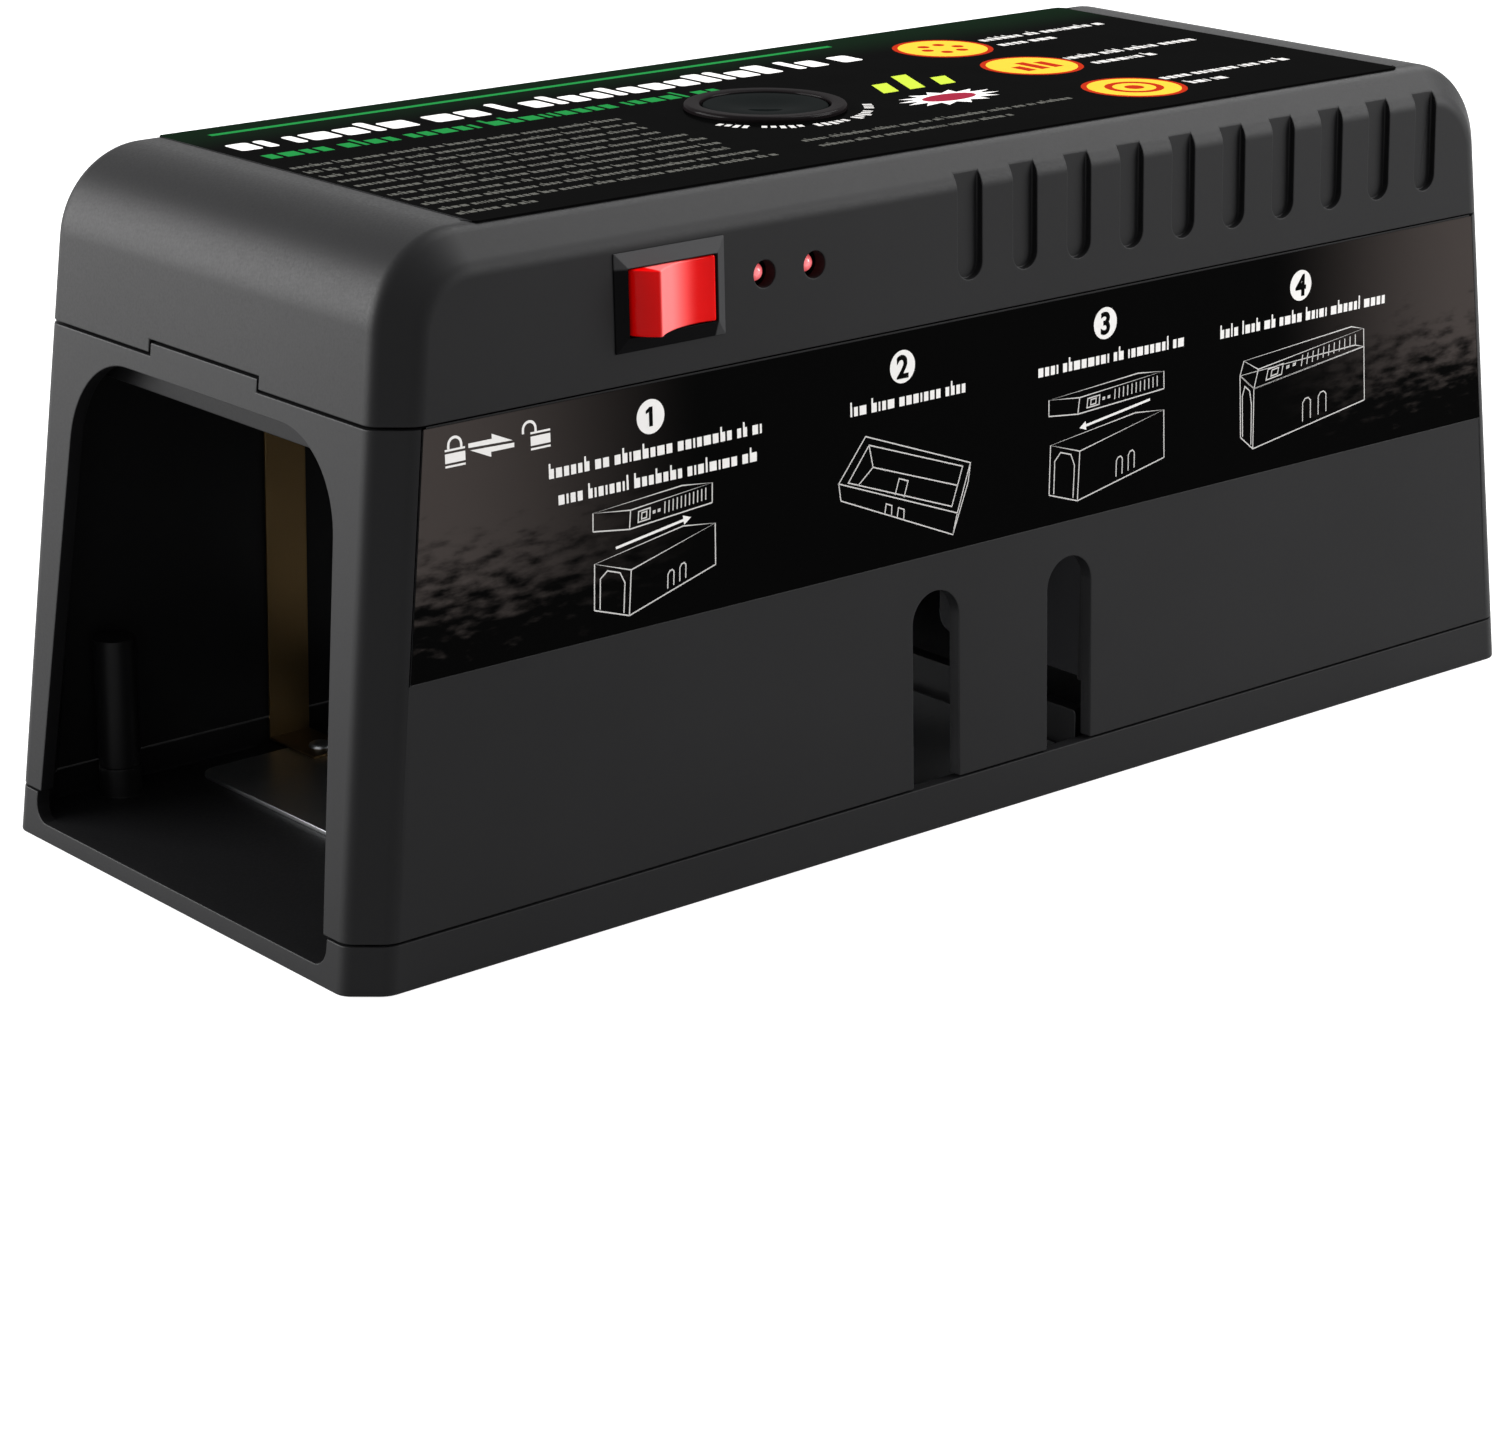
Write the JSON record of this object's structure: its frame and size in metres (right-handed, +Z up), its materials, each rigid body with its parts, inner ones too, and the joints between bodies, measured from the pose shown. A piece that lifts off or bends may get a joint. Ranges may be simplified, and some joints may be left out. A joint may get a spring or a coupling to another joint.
{
  "type": "electronic mouse trap",
  "caption": "Battery-powered tunnel trap for mice and rats, with a doorway, floor shock plates, bait cup and slide-off cover.",
  "frame": {"origin": "middle of the underside, on the surface it stands on", "axes": "+X along the case from the doorway to the bait end, -Y the side with the switch, +Z up"},
  "size_m": [0.26, 0.1023, 0.112],
  "materials": {
    "case_abs": "fine spark-eroded texture, satin",
    "inner_abs": "smooth satin",
    "label_film": "printed film, glossy, slightly rippled",
    "plate_steel": "rolled stainless sheet",
    "contact_bronze": "bright spring bronze",
    "screw_zinc": "zinc plated",
    "spring_wire": "bright nickel plated wire",
    "rocker_red": "polished red",
    "switch_black": "smooth nylon",
    "lamp_red": "diffuse red epoxy",
    "collar_black": "satin",
    "button_black": "satin",
    "board_green": "solder mask",
    "winding_tape": "yellow tape over copper winding",
    "capacitor_red": "dipped epoxy",
    "chip_black": "moulded epoxy",
    "cell_wrap": "printed shrink sleeve",
    "wire_red": "PVC",
    "wire_black": "PVC",
    "wire_white": "silicone"
  },
  "bodies": {
    "root": {"base_plate": "case_abs", "body_shell": "case_abs", "rear_baffle": "inner_abs", "entry_plate": "plate_steel", "middle_plate": "plate_steel", "rear_plate": "plate_steel", "plate_rivets": "screw_zinc", "contact_strips": "contact_bronze", "base_screws": "screw_zinc", "side_label": "label_film"},
    "cup": {"bait_cup": "inner_abs"},
    "cover": {"top_cover": "case_abs", "cover_tray": "inner_abs", "tray_screws": "screw_zinc", "top_label": "label_film", "button_collar": "collar_black", "switch_housing": "switch_black", "switch_terminals": "contact_bronze", "lamps": "lamp_red", "circuit_board": "board_green", "transformer": "winding_tape", "capacitors": "capacitor_red", "control_chip": "chip_black", "tact_switch": "chip_black", "board_screws": "screw_zinc", "battery_cells": "cell_wrap", "battery_springs": "spring_wire", "battery_contacts": "spring_wire", "contact_leaves": "contact_bronze", "leaf_rivets": "screw_zinc", "red_wires": "wire_red", "black_wires": "wire_black", "white_wires": "wire_white", "button_spring": "spring_wire"},
    "rocker": {"switch_rocker": "rocker_red"},
    "seesaw": {"switch_seesaw": "contact_bronze"},
    "button": {"shock_button": "button_black"},
    "battery_flap": {"battery_door": "inner_abs"}
  },
  "joints": [
    {"name": "cover_slide", "type": "slide", "parent": "root", "child": "cover", "axis": [1, 0, 0], "range_m": [0, 0.245]},
    {"name": "cup_lift", "type": "slide", "parent": "root", "child": "cup", "axis": [0, 0, 1], "range_m": [0, 0.045]},
    {"name": "rocker_tilt", "type": "hinge", "parent": "cover", "child": "rocker", "pos_m": [-0.0684, -0.04515, 0.09654], "axis": [0, -0.0332, -0.9995], "range_deg": [0, 30]},
    {"name": "seesaw_tilt", "type": "hinge", "parent": "cover", "child": "seesaw", "pos_m": [-0.0684, -0.03755, 0.09628], "axis": [0, -0.0332, -0.9995], "range_deg": [-16, 0]},
    {"name": "button_press", "type": "slide", "parent": "cover", "child": "button", "axis": [0, 0, -1], "range_m": [0, 0.002], "stiffness_N_per_m": 200, "springref_m": -0.003, "deforming": ["button_spring"]},
    {"name": "battery_door_swing", "type": "hinge", "parent": "cover", "child": "battery_flap", "pos_m": [0.03, 0, 0.0856], "axis": [0, 1, 0], "range_deg": [0, 90]}
  ],
  "couplings": [
    {"joint": "seesaw_tilt", "follows": "rocker_tilt", "ratio": -0.53333}
  ]
}
